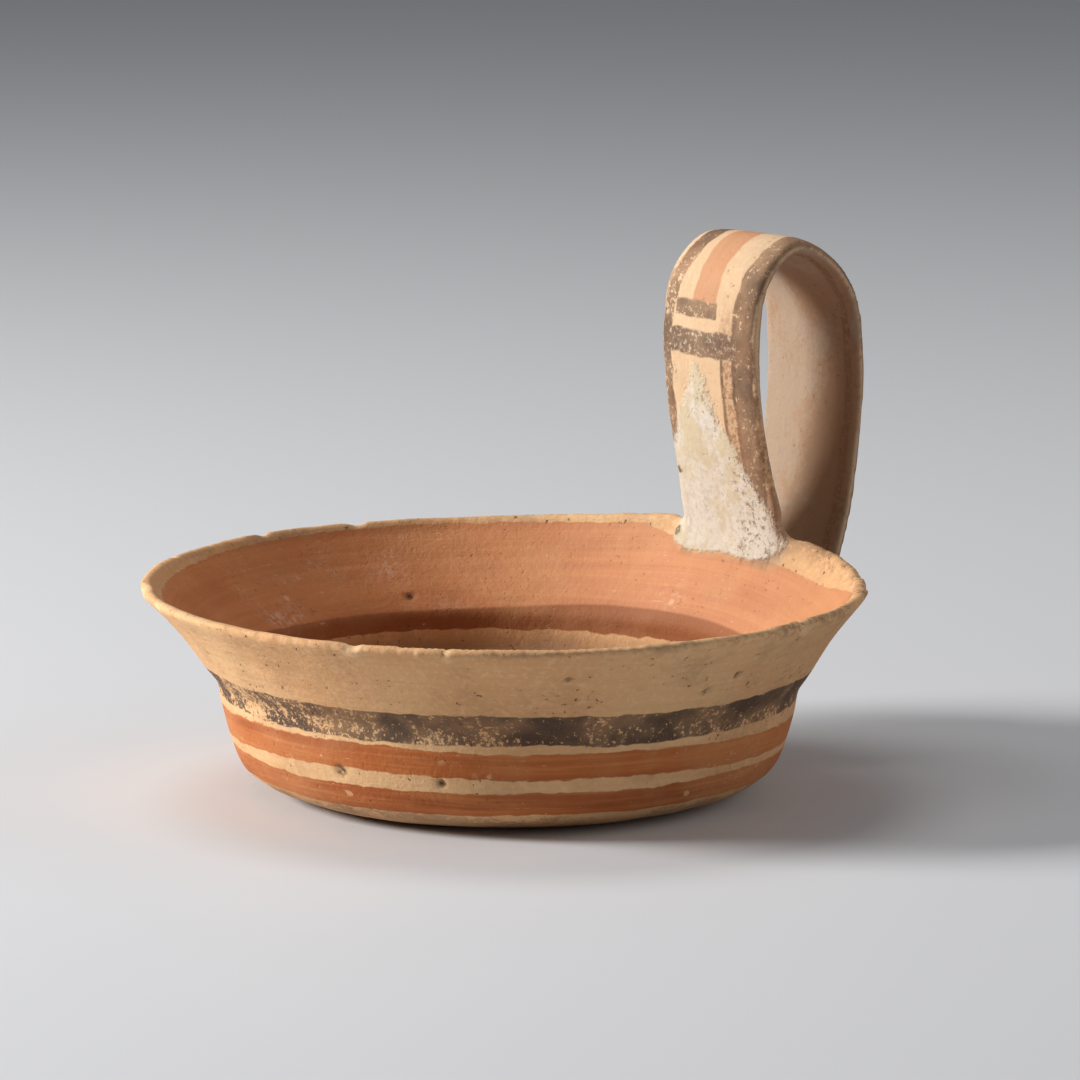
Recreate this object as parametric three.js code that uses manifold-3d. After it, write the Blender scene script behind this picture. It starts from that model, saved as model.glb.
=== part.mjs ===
// Kyathos: a dipping cup of fired clay, turned on the wheel and painted with matt bands.
// A flat base and a rounded lower body end in a soft shoulder, above which a straight wall flares to
// a thin lip. One strap handle rises from the lip, loops high above the cup and comes down outside
// to the shoulder, and the lip is drawn in and up where it starts. The whole cup is one piece of clay.
//
// Millimetres, +Z up. The origin is the centre of the flat base, and the handle is along +X.

import * as THREE from 'three';
import { mergeVertices } from 'three/addons/utils/BufferGeometryUtils.js';
import Module from 'manifold-3d';

const wasm = await Module();
wasm.setup();

// Cup, measured on the turned form before the lip was drawn in
const LIP_RADIUS = 66.3;
const LIP_HEIGHT = 38.2;
const LIP_THICKNESS = 2.6;
const SHOULDER_RADIUS = 52.2;
const SHOULDER_HEIGHT = 19;
const BASE_RADIUS = 35;
const WALL_THICKNESS = 3.2;
const FLOOR_THICKNESS = 5;
const INNER_SHOULDER = new THREE.Vector2(48.2, 24.2);

// Lip as it was left by hand: drawn in and up at the handle, a little oval and three-sided, not level
const PINCH_DEPTH = 10.2;
const PINCH_RISE = 4.4;
const PINCH_SPREAD = 22;
const PINCH_SHARPNESS = 2.2;
const OVAL = 0.8;
const THREE_SIDED = 0.4;
const LIP_TILT = 1.0;
const LIP_TILT_ANGLE = -115;
const SHOULDER_TILT = 0.9;
const SHOULDER_TILT_ANGLE = -38;

// Strap handle, all in the plane y = 0 except for its lean
const STRAP_HALF_WIDTH = 12.85;
const STRAP_ROOT_HALF_WIDTH = 16.4;
const STRAP_FOOT_HALF_WIDTH = 14.8;
const STRAP_HALF_THICKNESS = 2.1;
const STRAP_ROOT_THICKENING = 1.0;
const STRAP_ROOT_BOW = 1.4;
const STRAP_END_THICKNESS = 1.3;
const STRAP_EDGE_SHAPE = 2.6;
const STRAP_FACE_HOLLOW = 0.2;
const STRAP_LEAN = -1.2;
const STRAP_RUN = [
  [53.0, 29], [54.9, 35], [55.3, 39.5], [53.9, 46], [50.7, 58], [48.7, 70], [48.2, 80.2], [50.1, 89.3],
  [57.2, 95], [65.0, 92.6], [71.8, 85], [74.1, 72.5], [73.6, 58], [71.3, 44], [66.3, 31.5], [58.8, 23],
  [50.2, 18],
];

// Chips out of the lip: angle from the handle, seen from above, then length, width and depth
const CHIPS = [
  { angle: -76, length: 4.4, width: 2.2, depth: 1.0 },
  { angle: -154, length: 4.2, width: 2.6, depth: 1.1 },
  { angle: 148, length: 9.0, width: 2.0, depth: 0.9 },
  { angle: 96, length: 4.0, width: 2.2, depth: 0.9 },
  { angle: 77, length: 6.0, width: 2.6, depth: 1.2 },
];

// Fineness of the faceted solid
const AROUND = 72;
const OUTER_STEPS = 15;
const INNER_STEPS = 14;
const STRAP_STEPS = 46;
const STRAP_AROUND = 16;

const rad = THREE.MathUtils.degToRad;
const point = (r, z) => new THREE.Vector2(r, z);

// How much of the pinch at the handle is felt at an angle from it: 1 at the handle, 0 well away
function pinch(angle) {
  const fromHandle = Math.atan2(Math.sin(angle), Math.cos(angle));
  return Math.exp(-0.5 * Math.abs(fromHandle / rad(PINCH_SPREAD)) ** PINCH_SHARPNESS);
}

// How far the hand-made lip stands out from its turned circle, at an angle from the handle
function lipOffset(angle) {
  return OVAL * Math.cos(2 * angle) + THREE_SIDED * Math.cos(3 * angle) - PINCH_DEPTH * pinch(angle);
}

// How far the lip dips below its turned height at an angle from the handle
function lipDrop(angle) {
  return LIP_TILT * Math.cos(angle - rad(LIP_TILT_ANGLE)) - PINCH_RISE * pinch(angle);
}

// Section of the wall from the centre of the base, out and up to the lip, then down inside to the
// centre of the floor. Both faces are smooth curves through the few places that give them their shape.
function wallSection() {
  const spread = SHOULDER_RADIUS - BASE_RADIUS;
  const rise = LIP_HEIGHT - SHOULDER_HEIGHT;
  const outer = new THREE.SplineCurve([
    point(BASE_RADIUS, 0),
    point(BASE_RADIUS + 0.42 * spread, 0.075 * SHOULDER_HEIGHT),
    point(BASE_RADIUS + 0.76 * spread, 0.26 * SHOULDER_HEIGHT),
    point(BASE_RADIUS + 0.91 * spread, 0.56 * SHOULDER_HEIGHT),
    point(SHOULDER_RADIUS - 0.1, 0.85 * SHOULDER_HEIGHT),
    point(SHOULDER_RADIUS + 0.7, SHOULDER_HEIGHT + 1),
    point(SHOULDER_RADIUS + 2.9, SHOULDER_HEIGHT + 0.21 * rise),
    point(LIP_RADIUS - 6.4, SHOULDER_HEIGHT + 0.57 * rise),
    point(LIP_RADIUS - 0.4, LIP_HEIGHT - 1.4),
  ]).getPoints(OUTER_STEPS);
  const lip = [
    point(LIP_RADIUS, LIP_HEIGHT - 0.6),
    point(LIP_RADIUS - 0.28 * LIP_THICKNESS, LIP_HEIGHT),
    point(LIP_RADIUS - 0.72 * LIP_THICKNESS, LIP_HEIGHT),
    point(LIP_RADIUS - LIP_THICKNESS, LIP_HEIGHT - 0.8),
  ];
  const slope = (LIP_RADIUS - SHOULDER_RADIUS) / rise;
  const across = WALL_THICKNESS * Math.hypot(1, slope);
  const inner = new THREE.SplineCurve([
    point(LIP_RADIUS - LIP_THICKNESS - 0.6, LIP_HEIGHT - 1.8),
    point(LIP_RADIUS - across - 4.3, SHOULDER_HEIGHT + 0.68 * rise),
    INNER_SHOULDER,
    point(INNER_SHOULDER.x - 1.3, INNER_SHOULDER.y - 3.6),
    point(INNER_SHOULDER.x - 2.8, INNER_SHOULDER.y - 8.6),
    point(INNER_SHOULDER.x - 11.6, FLOOR_THICKNESS + 3.4),
    point(INNER_SHOULDER.x - 26, FLOOR_THICKNESS + 0.8),
    point(0, FLOOR_THICKNESS),
  ]).getPoints(INNER_STEPS);
  return [point(0, 0), ...outer, ...lip, ...inner];
}

// The turned wall, bent to the hand-made outline: not at all at the shoulder, fully at the lip
function bowlGeometry() {
  const turned = new THREE.LatheGeometry(wallSection(), AROUND);
  turned.rotateX(Math.PI / 2);
  const geometry = positionsOnly(turned);
  const place = geometry.getAttribute('position');
  for (let i = 0; i < place.count; i += 1) {
    const angle = Math.atan2(place.getY(i), place.getX(i));
    const radius = Math.hypot(place.getX(i), place.getY(i));
    const height = place.getZ(i);
    const bend = THREE.MathUtils.clamp((height - SHOULDER_HEIGHT) / (LIP_HEIGHT - SHOULDER_HEIGHT), 0, 1);
    const low = THREE.MathUtils.clamp(height / SHOULDER_HEIGHT, 0, 1) * (1 - bend);
    const lower = SHOULDER_TILT * Math.cos(angle - rad(SHOULDER_TILT_ANGLE));
    const outline = radius + bend * lipOffset(angle);
    place.setXYZ(i, outline * Math.cos(angle), outline * Math.sin(angle),
      height - low * lower - bend * lipDrop(angle));
  }
  return geometry;
}

// Half the strap's width at a place along it: it spreads where it is pressed on to the lip and shoulder
function strapHalfWidth(along) {
  const root = (STRAP_ROOT_HALF_WIDTH - STRAP_HALF_WIDTH) * Math.exp(-((along / 0.085) ** 2));
  const foot = (STRAP_FOOT_HALF_WIDTH - STRAP_HALF_WIDTH) * Math.exp(-(((1 - along) / 0.11) ** 2));
  return STRAP_HALF_WIDTH + root + foot;
}

// A strap swept along its run. Each ring is a flat oval with full edges and faintly hollow faces. Its
// root is thinned inside the wall, thickened at the lip and bowed to follow the curve of the cup.
function strapGeometry() {
  const run = new THREE.CatmullRomCurve3(STRAP_RUN.map(([x, z]) => new THREE.Vector3(x, 0, z)));
  const places = [];
  const faces = [];
  const top = Math.max(...STRAP_RUN.map(([, z]) => z));
  for (let step = 0; step <= STRAP_STEPS; step += 1) {
    const along = step / STRAP_STEPS;
    const centre = run.getPointAt(along);
    const tangent = run.getTangentAt(along);
    const lean = STRAP_LEAN * THREE.MathUtils.clamp((centre.z - LIP_HEIGHT) / (top - LIP_HEIGHT), 0, 1);
    const rooted = Math.exp(-((along / 0.085) ** 2));
    const full = STRAP_HALF_THICKNESS + STRAP_ROOT_THICKENING * rooted;
    const clear = THREE.MathUtils.smoothstep(along, 0, 0.055);
    const thick = THREE.MathUtils.lerp(STRAP_END_THICKNESS, full, clear);
    for (let side = 0; side < STRAP_AROUND; side += 1) {
      const turn = (2 * Math.PI * side) / STRAP_AROUND;
      const across = Math.sign(Math.cos(turn)) * Math.abs(Math.cos(turn)) ** (2 / STRAP_EDGE_SHAPE);
      const hollow = 1 - STRAP_FACE_HOLLOW / STRAP_HALF_THICKNESS * (1 - across * across);
      const out = Math.sign(Math.sin(turn)) * Math.abs(Math.sin(turn)) ** (2 / STRAP_EDGE_SHAPE) * hollow;
      const bow = STRAP_ROOT_BOW * rooted * across * across;
      places.push(centre.x - bow - tangent.z * out * thick, lean + across * strapHalfWidth(along),
        centre.z + tangent.x * out * thick);
    }
  }
  const ringStart = (step) => step * STRAP_AROUND;
  for (let step = 0; step < STRAP_STEPS; step += 1) {
    for (let side = 0; side < STRAP_AROUND; side += 1) {
      const next = (side + 1) % STRAP_AROUND;
      const [a, b] = [ringStart(step) + side, ringStart(step) + next];
      const [c, d] = [ringStart(step + 1) + side, ringStart(step + 1) + next];
      faces.push(a, b, d, a, d, c);
    }
  }
  for (let side = 1; side < STRAP_AROUND - 1; side += 1) {
    const end = ringStart(STRAP_STEPS);
    faces.push(0, side + 1, side, end, end + side, end + side + 1);
  }
  const geometry = new THREE.BufferGeometry();
  geometry.setAttribute('position', new THREE.Float32BufferAttribute(places, 3));
  geometry.setIndex(faces);
  return geometry;
}

// One chip: a flattened ball that takes a shallow bite out of the lip's outer edge
function chipGeometry({ angle, length, width, depth }) {
  const turn = rad(angle);
  const radius = LIP_RADIUS + lipOffset(turn);
  const ball = new THREE.IcosahedronGeometry(1, 1);
  ball.scale(width, length / 2, 2 * depth);
  ball.rotateZ(turn);
  ball.translate(radius * Math.cos(turn), radius * Math.sin(turn),
    LIP_HEIGHT + depth - lipDrop(turn));
  return positionsOnly(ball);
}

// Shared corners merged on position alone, as a closed solid needs
function positionsOnly(geometry) {
  geometry.deleteAttribute('normal');
  geometry.deleteAttribute('uv');
  return mergeVertices(geometry, 1e-4);
}

function toSolid(geometry) {
  return new wasm.Manifold(new wasm.Mesh({
    numProp: 3,
    vertProperties: new Float32Array(geometry.getAttribute('position').array),
    triVerts: new Uint32Array(geometry.getIndex().array),
  }));
}

function toGeometry(solid) {
  const mesh = solid.getMesh();
  const geometry = new THREE.BufferGeometry();
  geometry.setAttribute('position', new THREE.BufferAttribute(mesh.vertProperties, 3));
  geometry.setIndex(new THREE.BufferAttribute(mesh.triVerts, 1));
  geometry.computeVertexNormals();
  return geometry;
}

function kyathosMesh() {
  const chips = CHIPS.map((chip) => toSolid(chipGeometry(chip)));
  const joined = toSolid(bowlGeometry()).add(toSolid(strapGeometry()));
  const chipped = chips.reduce((solid, chip) => solid.subtract(chip), joined);
  const clay = new THREE.MeshStandardMaterial({ color: 0xc99b66, roughness: 0.8, metalness: 0 });
  const mesh = new THREE.Mesh(toGeometry(chipped), clay);
  mesh.name = 'kyathos';
  return mesh;
}

const kyathos = new THREE.Group();
kyathos.add(kyathosMesh());

export default kyathos;
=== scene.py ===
# %% [markdown]
# A kyathos is a dipping cup. This one is fired clay with a flat base, a flaring wall and one tall strap
# handle, painted with matt bands outside and a four-pointed star on the floor inside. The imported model
# gives its exact place and size. Its faceted cup is replaced here by a fine mesh of the same form, so
# that the lip, the handle's roots and the wear can be seen close up.

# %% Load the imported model
import math

import bpy
import numpy as np
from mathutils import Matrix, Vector
from mathutils.bvhtree import BVHTree


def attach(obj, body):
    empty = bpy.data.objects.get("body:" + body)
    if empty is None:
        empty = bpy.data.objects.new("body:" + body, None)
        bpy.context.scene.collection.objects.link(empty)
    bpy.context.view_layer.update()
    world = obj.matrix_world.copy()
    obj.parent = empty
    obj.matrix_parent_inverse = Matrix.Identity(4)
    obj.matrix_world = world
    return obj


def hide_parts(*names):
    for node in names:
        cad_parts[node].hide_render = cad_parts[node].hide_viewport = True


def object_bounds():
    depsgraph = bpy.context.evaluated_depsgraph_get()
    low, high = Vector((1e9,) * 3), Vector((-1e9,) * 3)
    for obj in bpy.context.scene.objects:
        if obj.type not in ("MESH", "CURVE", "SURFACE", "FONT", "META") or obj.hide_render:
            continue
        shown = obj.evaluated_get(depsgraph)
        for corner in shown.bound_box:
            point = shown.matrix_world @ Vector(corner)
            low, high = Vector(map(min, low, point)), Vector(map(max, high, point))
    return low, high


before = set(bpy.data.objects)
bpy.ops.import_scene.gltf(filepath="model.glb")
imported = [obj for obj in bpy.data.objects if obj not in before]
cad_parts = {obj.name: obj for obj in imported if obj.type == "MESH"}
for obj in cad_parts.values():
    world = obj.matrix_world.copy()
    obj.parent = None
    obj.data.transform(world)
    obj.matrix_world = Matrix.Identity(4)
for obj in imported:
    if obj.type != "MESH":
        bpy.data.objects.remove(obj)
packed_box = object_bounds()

MM = 0.001
print("packed box, mm:", [round(v / MM, 1) for corner in packed_box for v in corner])

# %% [markdown]
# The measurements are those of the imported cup, in millimetres. The cup was turned on a wheel, so most of
# it is one section carried round a circle. The lip was then bent by hand: drawn in at the handle, a
# little oval and three-sided, and not quite level. The handle is a flat strap along one curved run.

# %% Measurements of the cup
LIP_RADIUS = 66.3
LIP_HEIGHT = 38.2
LIP_THICKNESS = 2.6
SHOULDER_RADIUS = 52.2
SHOULDER_HEIGHT = 19.0
BASE_RADIUS = 35.0
WALL_THICKNESS = 3.2
FLOOR_THICKNESS = 5.0
INNER_SHOULDER = (48.2, 24.2)

PINCH_DEPTH = 10.2
PINCH_RISE = 4.4
PINCH_SPREAD = math.radians(22)
PINCH_SHARPNESS = 2.2
OVAL = 0.8
THREE_SIDED = 0.4
LIP_TILT = 1.0
LIP_TILT_ANGLE = math.radians(-115)
SHOULDER_TILT = 0.9
SHOULDER_TILT_ANGLE = math.radians(-38)

# %% Measurements of the strap handle
STRAP_HALF_WIDTH = 12.85
STRAP_ROOT_HALF_WIDTH = 16.4
STRAP_FOOT_HALF_WIDTH = 14.8
STRAP_HALF_THICKNESS = 2.1
STRAP_ROOT_THICKENING = 1.0
STRAP_ROOT_BOW = 1.4
STRAP_END_THICKNESS = 1.3
STRAP_EDGE_SHAPE = 2.6
STRAP_FACE_HOLLOW = 0.2
STRAP_LEAN = -1.2
STRAP_RUN = [
    (53.0, 29), (54.9, 35), (55.3, 39.5), (53.9, 46), (50.7, 58), (48.7, 70), (48.2, 80.2), (50.1, 89.3),
    (57.2, 95), (65.0, 92.6), (71.8, 85), (74.1, 72.5), (73.6, 58), (71.3, 44), (66.3, 31.5), (58.8, 23),
    (50.2, 18),
]

# %% [markdown]
# A smooth line through a few known points is what a potter's profile gauge gives. Blender's own curve
# objects could carry it, but the lip has to be bent after the turning, so plain arrays of points are
# easier: every vertex can be moved by one rule before any mesh exists.

# %% A smooth line through a few points
def smooth_line(points, per_span, held_ends):
    """Points along a smooth line. Held ends start slowly; free ends run on in their own direction."""
    p = np.asarray(points, float)
    before, after = (p[0], p[-1]) if held_ends else (2 * p[0] - p[1], 2 * p[-1] - p[-2])
    p = np.vstack([before, p, after])
    spans = []
    for k in range(len(p) - 3):
        a, b, c, d = p[k:k + 4]
        if held_ends:
            leave, arrive = (c - a) / 2, (d - b) / 2
        else:
            g0, g1, g2 = (np.linalg.norm(v) ** 0.5 for v in (b - a, c - b, d - c))
            leave = ((b - a) / g0 - (c - a) / (g0 + g1)) * g1 + (c - b)
            arrive = (c - b) + ((d - c) / g2 - (d - b) / (g1 + g2)) * g1
        t = np.linspace(0, 1, per_span, endpoint=False)[:, None]
        spans.append((2 * t**3 - 3 * t**2 + 1) * b + (t**3 - 2 * t**2 + t) * leave
                     + (3 * t**2 - 2 * t**3) * c + (t**3 - t**2) * arrive)
    return np.vstack(spans + [p[-2][None]])


def lengths_along(line):
    return np.r_[0, np.cumsum(np.linalg.norm(np.diff(line, axis=0), axis=1))]


# %% The wall's section, from the centre of the base up to the lip and down to the middle of the floor
def wall_section(per_span=14):
    spread = SHOULDER_RADIUS - BASE_RADIUS
    rise = LIP_HEIGHT - SHOULDER_HEIGHT
    outer = smooth_line([
        (BASE_RADIUS, 0),
        (BASE_RADIUS + 0.42 * spread, 0.075 * SHOULDER_HEIGHT),
        (BASE_RADIUS + 0.76 * spread, 0.26 * SHOULDER_HEIGHT),
        (BASE_RADIUS + 0.91 * spread, 0.56 * SHOULDER_HEIGHT),
        (SHOULDER_RADIUS - 0.1, 0.85 * SHOULDER_HEIGHT),
        (SHOULDER_RADIUS + 0.7, SHOULDER_HEIGHT + 1),
        (SHOULDER_RADIUS + 2.9, SHOULDER_HEIGHT + 0.21 * rise),
        (LIP_RADIUS - 6.4, SHOULDER_HEIGHT + 0.57 * rise),
        (LIP_RADIUS - 0.4, LIP_HEIGHT - 1.4),
    ], per_span, True)
    lip = np.array([
        (LIP_RADIUS, LIP_HEIGHT - 0.6),
        (LIP_RADIUS - 0.28 * LIP_THICKNESS, LIP_HEIGHT),
        (LIP_RADIUS - 0.72 * LIP_THICKNESS, LIP_HEIGHT),
        (LIP_RADIUS - LIP_THICKNESS, LIP_HEIGHT - 0.8),
    ])
    across = WALL_THICKNESS * math.hypot(1, (LIP_RADIUS - SHOULDER_RADIUS) / rise)
    x, z = INNER_SHOULDER
    inner = smooth_line([
        (LIP_RADIUS - LIP_THICKNESS - 0.6, LIP_HEIGHT - 1.8),
        (LIP_RADIUS - across - 4.3, SHOULDER_HEIGHT + 0.68 * rise),
        (x, z), (x - 1.3, z - 3.6), (x - 2.8, z - 8.6),
        (x - 11.6, FLOOR_THICKNESS + 3.4),
        (x - 26, FLOOR_THICKNESS + 0.8),
        (0, FLOOR_THICKNESS),
    ], per_span, True)
    base = np.array([(r, 0.0) for r in np.linspace(0, BASE_RADIUS, 24, endpoint=False)])
    section = np.vstack([base, outer, lip, inner])
    lip_top = len(base) + len(outer) + 1
    return section, lengths_along(section)[lip_top] + 0.22 * LIP_THICKNESS - lengths_along(section)


SECTION, BELOW_LIP = wall_section()
print(f"section: {len(SECTION)} points, {BELOW_LIP[0]:.1f} mm outside the lip, {-BELOW_LIP[-1]:.1f} mm inside")

# %% [markdown]
# A lip is never quite round after the handle has gone on. The potter drew this one in and up at the handle,
# and drying left it oval, three-sided and a little tilted. Each departure is one short rule by angle.

# %% How the hand-made lip departs from the turned one
def pinch(angle):
    turn = np.arctan2(np.sin(angle), np.cos(angle))
    return np.exp(-0.5 * np.abs(turn / PINCH_SPREAD) ** PINCH_SHARPNESS)


def lip_offset(angle):
    return OVAL * np.cos(2 * angle) + THREE_SIDED * np.cos(3 * angle) - PINCH_DEPTH * pinch(angle)


def share_of_bend(height):
    return np.clip((height - SHOULDER_HEIGHT) / (LIP_HEIGHT - SHOULDER_HEIGHT), 0, 1)


def drop(angle, height):
    bend = share_of_bend(height)
    low = np.clip(height / SHOULDER_HEIGHT, 0, 1) * (1 - bend)
    return (low * SHOULDER_TILT * np.cos(angle - SHOULDER_TILT_ANGLE)
            + bend * (LIP_TILT * np.cos(angle - LIP_TILT_ANGLE) - PINCH_RISE * pinch(angle)))


def turned_place(points):
    """Angle, radius and height that each point had on the wheel, before the lip was bent."""
    angle = np.arctan2(points[:, 1], points[:, 0])
    height = points[:, 2]
    for _ in range(8):
        height = points[:, 2] + drop(angle, height)
    radius = np.hypot(points[:, 0], points[:, 1]) - share_of_bend(height) * lip_offset(angle)
    return angle, radius, height


# %% The turned cup as a closed mesh
def cup_shell(around=260):
    angle = np.arange(around) * 2 * math.pi / around
    radius, height = SECTION[1:-1, :1], SECTION[1:-1, 1:]
    bent = radius + share_of_bend(height) * lip_offset(angle)
    rings = np.stack([bent * np.cos(angle), bent * np.sin(angle), height - drop(angle, height)], -1)
    verts = np.vstack([rings.reshape(-1, 3), [0, 0, 0], [0, 0, FLOOR_THICKNESS]])
    count = len(rings)
    faces = []
    for row in range(count - 1):
        for k in range(around):
            a, b = row * around + k, row * around + (k + 1) % around
            faces.append((a, b, b + around, a + around))
    middle_below, middle_above = len(verts) - 2, len(verts) - 1
    last = (count - 1) * around
    for k in range(around):
        following = (k + 1) % around
        faces.append((middle_below, following, k))
        faces.append((last + k, last + following, middle_above))
    return verts, faces


cup_verts, cup_faces = cup_shell()
print(f"cup: {len(cup_verts)} points, {len(cup_faces)} faces")

# %% [markdown]
# The strap was pulled from soft clay and pressed on to the lip and the shoulder. A bevelled curve would
# give an even ribbon, but this one widens at both ends, thickens where it meets the lip, and has faintly
# hollow faces, so each ring is worked out and the rings are joined.

# %% The strap as a closed mesh
def even_steps(line, count):
    along = lengths_along(line)
    wanted = np.linspace(0, along[-1], count)
    return np.stack([np.interp(wanted, along, line[:, k]) for k in range(line.shape[1])], -1), along[-1]


STRAP_LINE, STRAP_LENGTH = even_steps(smooth_line(STRAP_RUN, 60, False), 301)
STRAP_WAY = np.gradient(STRAP_LINE, axis=0)
STRAP_WAY /= np.linalg.norm(STRAP_WAY, axis=1)[:, None]
STRAP_TOP = max(z for _, z in STRAP_RUN)
print(f"strap: {STRAP_LENGTH:.1f} mm long, highest at {STRAP_TOP} mm")


def smoothstep(low, high, x):
    t = np.clip((x - low) / (high - low), 0, 1)
    return t * t * (3 - 2 * t)


def strap_lean(height):
    return STRAP_LEAN * np.clip((height - LIP_HEIGHT) / (STRAP_TOP - LIP_HEIGHT), 0, 1)


def strap_shell(around=64):
    along = np.linspace(0, 1, len(STRAP_LINE))[:, None]
    rooted = np.exp(-(along / 0.085) ** 2)
    half_width = (STRAP_HALF_WIDTH + (STRAP_ROOT_HALF_WIDTH - STRAP_HALF_WIDTH) * rooted
                  + (STRAP_FOOT_HALF_WIDTH - STRAP_HALF_WIDTH) * np.exp(-((1 - along) / 0.11) ** 2))
    full = STRAP_HALF_THICKNESS + STRAP_ROOT_THICKENING * rooted
    thick = STRAP_END_THICKNESS + (full - STRAP_END_THICKNESS) * smoothstep(0, 0.055, along)
    turn = np.arange(around) * 2 * math.pi / around
    across = np.sign(np.cos(turn)) * np.abs(np.cos(turn)) ** (2 / STRAP_EDGE_SHAPE)
    out = np.sign(np.sin(turn)) * np.abs(np.sin(turn)) ** (2 / STRAP_EDGE_SHAPE)
    out = out * (1 - STRAP_FACE_HOLLOW / STRAP_HALF_THICKNESS * (1 - across**2))
    x, z = STRAP_LINE[:, :1], STRAP_LINE[:, 1:]
    way_x, way_z = STRAP_WAY[:, :1], STRAP_WAY[:, 1:]
    rings = np.stack([
        x - STRAP_ROOT_BOW * rooted * across**2 - way_z * out * thick,
        strap_lean(z) + across * half_width,
        z + way_x * out * thick,
    ], -1)
    faces = []
    for row in range(len(rings) - 1):
        for k in range(around):
            a, b = row * around + k, row * around + (k + 1) % around
            faces.append((a, b, b + around, a + around))
    last = (len(rings) - 1) * around
    faces.append(tuple(range(around))[::-1])
    faces.append(tuple(range(last, last + around)))
    return rings.reshape(-1, 3), faces


strap_verts, strap_faces = strap_shell()
print(f"strap: {len(strap_verts)} points, {len(strap_faces)} faces")

# %% [markdown]
# On the real cup the clay of the strap was smeared into the lip, so there is no seam. A union would keep
# a hard line there. Remeshing both shells as one body of small cubes makes one skin, and smoothing it
# hardest where both shells are near gives the soft hollows that a thumb leaves.

# %% One skin for the cup and its strap
def mesh_from(name, verts, faces):
    mesh = bpy.data.meshes.new(name)
    mesh.from_pydata((np.asarray(verts) * MM).tolist(), [], faces)
    mesh.validate()
    return mesh


def one_skin(name, shells, cube):
    verts, faces, start = [], [], 0
    for shell_verts, shell_faces in shells:
        verts.append(shell_verts)
        faces += [tuple(i + start for i in face) for face in shell_faces]
        start += len(shell_verts)
    rough = bpy.data.objects.new(name + "_rough", mesh_from(name + "_rough", np.vstack(verts), faces))
    bpy.context.scene.collection.objects.link(rough)
    remesh = rough.modifiers.new("one skin", "REMESH")
    remesh.mode = "VOXEL"
    remesh.voxel_size = cube * MM
    remesh.adaptivity = 0
    evaluated = rough.evaluated_get(bpy.context.evaluated_depsgraph_get())
    mesh = bpy.data.meshes.new_from_object(evaluated)
    mesh.name = name
    bpy.data.objects.remove(rough)
    return mesh


CUBE = 0.83
skin = one_skin("kyathos_clay", [(cup_verts, cup_faces), (strap_verts, strap_faces)], CUBE)
places = np.empty(len(skin.vertices) * 3)
skin.vertices.foreach_get("co", places)
places = places.reshape(-1, 3) / MM
edges = np.empty(len(skin.edges) * 2, dtype=int)
skin.edges.foreach_get("vertices", edges)
edges = edges.reshape(-1, 2)
print(f"skin: {len(places)} points, {len(skin.polygons)} faces")

# %% How near each point is to each shell
def shell_tree(verts, faces):
    return BVHTree.FromPolygons([tuple(v) for v in verts], faces)


def distance_to(tree, points):
    return np.array([tree.find_nearest(Vector(p))[3] for p in points])


near_strap = places[:, 0] > 40
to_cup = np.zeros(len(places))
to_strap = np.full(len(places), 99.0)
to_cup[near_strap] = distance_to(shell_tree(cup_verts, cup_faces), places[near_strap])
to_strap[near_strap] = distance_to(shell_tree(strap_verts, strap_faces), places[near_strap])
seam = 1 - smoothstep(1.0, 4.5, np.maximum(to_cup, to_strap))
print(f"seam: {int((seam > 0.5).sum())} points near both shells")

# %% [markdown]
# Plain smoothing shrinks a thin wall. Pulling each point toward its neighbours and then pushing it back by
# about as much takes the steps of the cubes away and keeps the size. At the seam the push is left out.

# %% Smoothing that keeps the size
def neighbour_mean(values):
    total = np.zeros_like(values)
    count = np.zeros(len(values))
    for a, b in ((0, 1), (1, 0)):
        np.add.at(total, edges[:, a], values[edges[:, b]])
        np.add.at(count, edges[:, a], 1)
    return total / count[:, None]


def relax(points, weight, rounds, grow):
    """Each round pulls the points together; with grow, it then pushes them out by about as much."""
    for _ in range(rounds):
        points = points + weight[:, None] * 0.5 * (neighbour_mean(points) - points)
        if grow:
            points = points - weight[:, None] * 0.53 * (neighbour_mean(points) - points)
    return points


places = relax(places, np.ones(len(places)), 5, True)
places = relax(places, seam, 30, False)
print("lowest point, mm:", round(places[:, 2].min(), 3))

# %% [markdown]
# Chips and pits are part of the shape, so they are cut here and not only drawn in the finish. A chip has
# a flat floor where the lip's edge broke away. A pit is a small hole where a grain of lime fell out.

# %% Chips out of the lip, pits and an uneven surface
# angle from the handle in degrees, length along the lip, width across it and depth, in mm
CHIPS = [
    (-76, 4.4, 2.0, 0.8), (-154, 4.6, 2.2, 0.6), (-139, 2.2, 1.6, 0.3), (148, 9.0, 2.0, 0.5),
    (160, 5.0, 1.8, 0.3), (96, 4.0, 2.2, 0.5), (77, 6.0, 2.4, 0.6), (-38, 7.0, 1.8, 0.5), (121, 3.0, 1.5, 0.4),
]
# angle from the handle in degrees, way down from the lip in mm (inside is negative), width and depth
PITS = [
    (-165, 33.0, 2.2, 0.5), (-170, 22.5, 1.8, 0.4), (-143, 33.5, 1.6, 0.5), (-87, 12.0, 1.7, 0.4),
    (-93, 15.0, 1.6, 0.4), (39, -49.4, 1.7, 0.5), (80, -55.0, 1.4, 0.4), (72, -19.2, 1.8, 0.5),
    (91, -62.5, 1.3, 0.3), (-120, 9.0, 1.5, 0.3),
]


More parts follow.
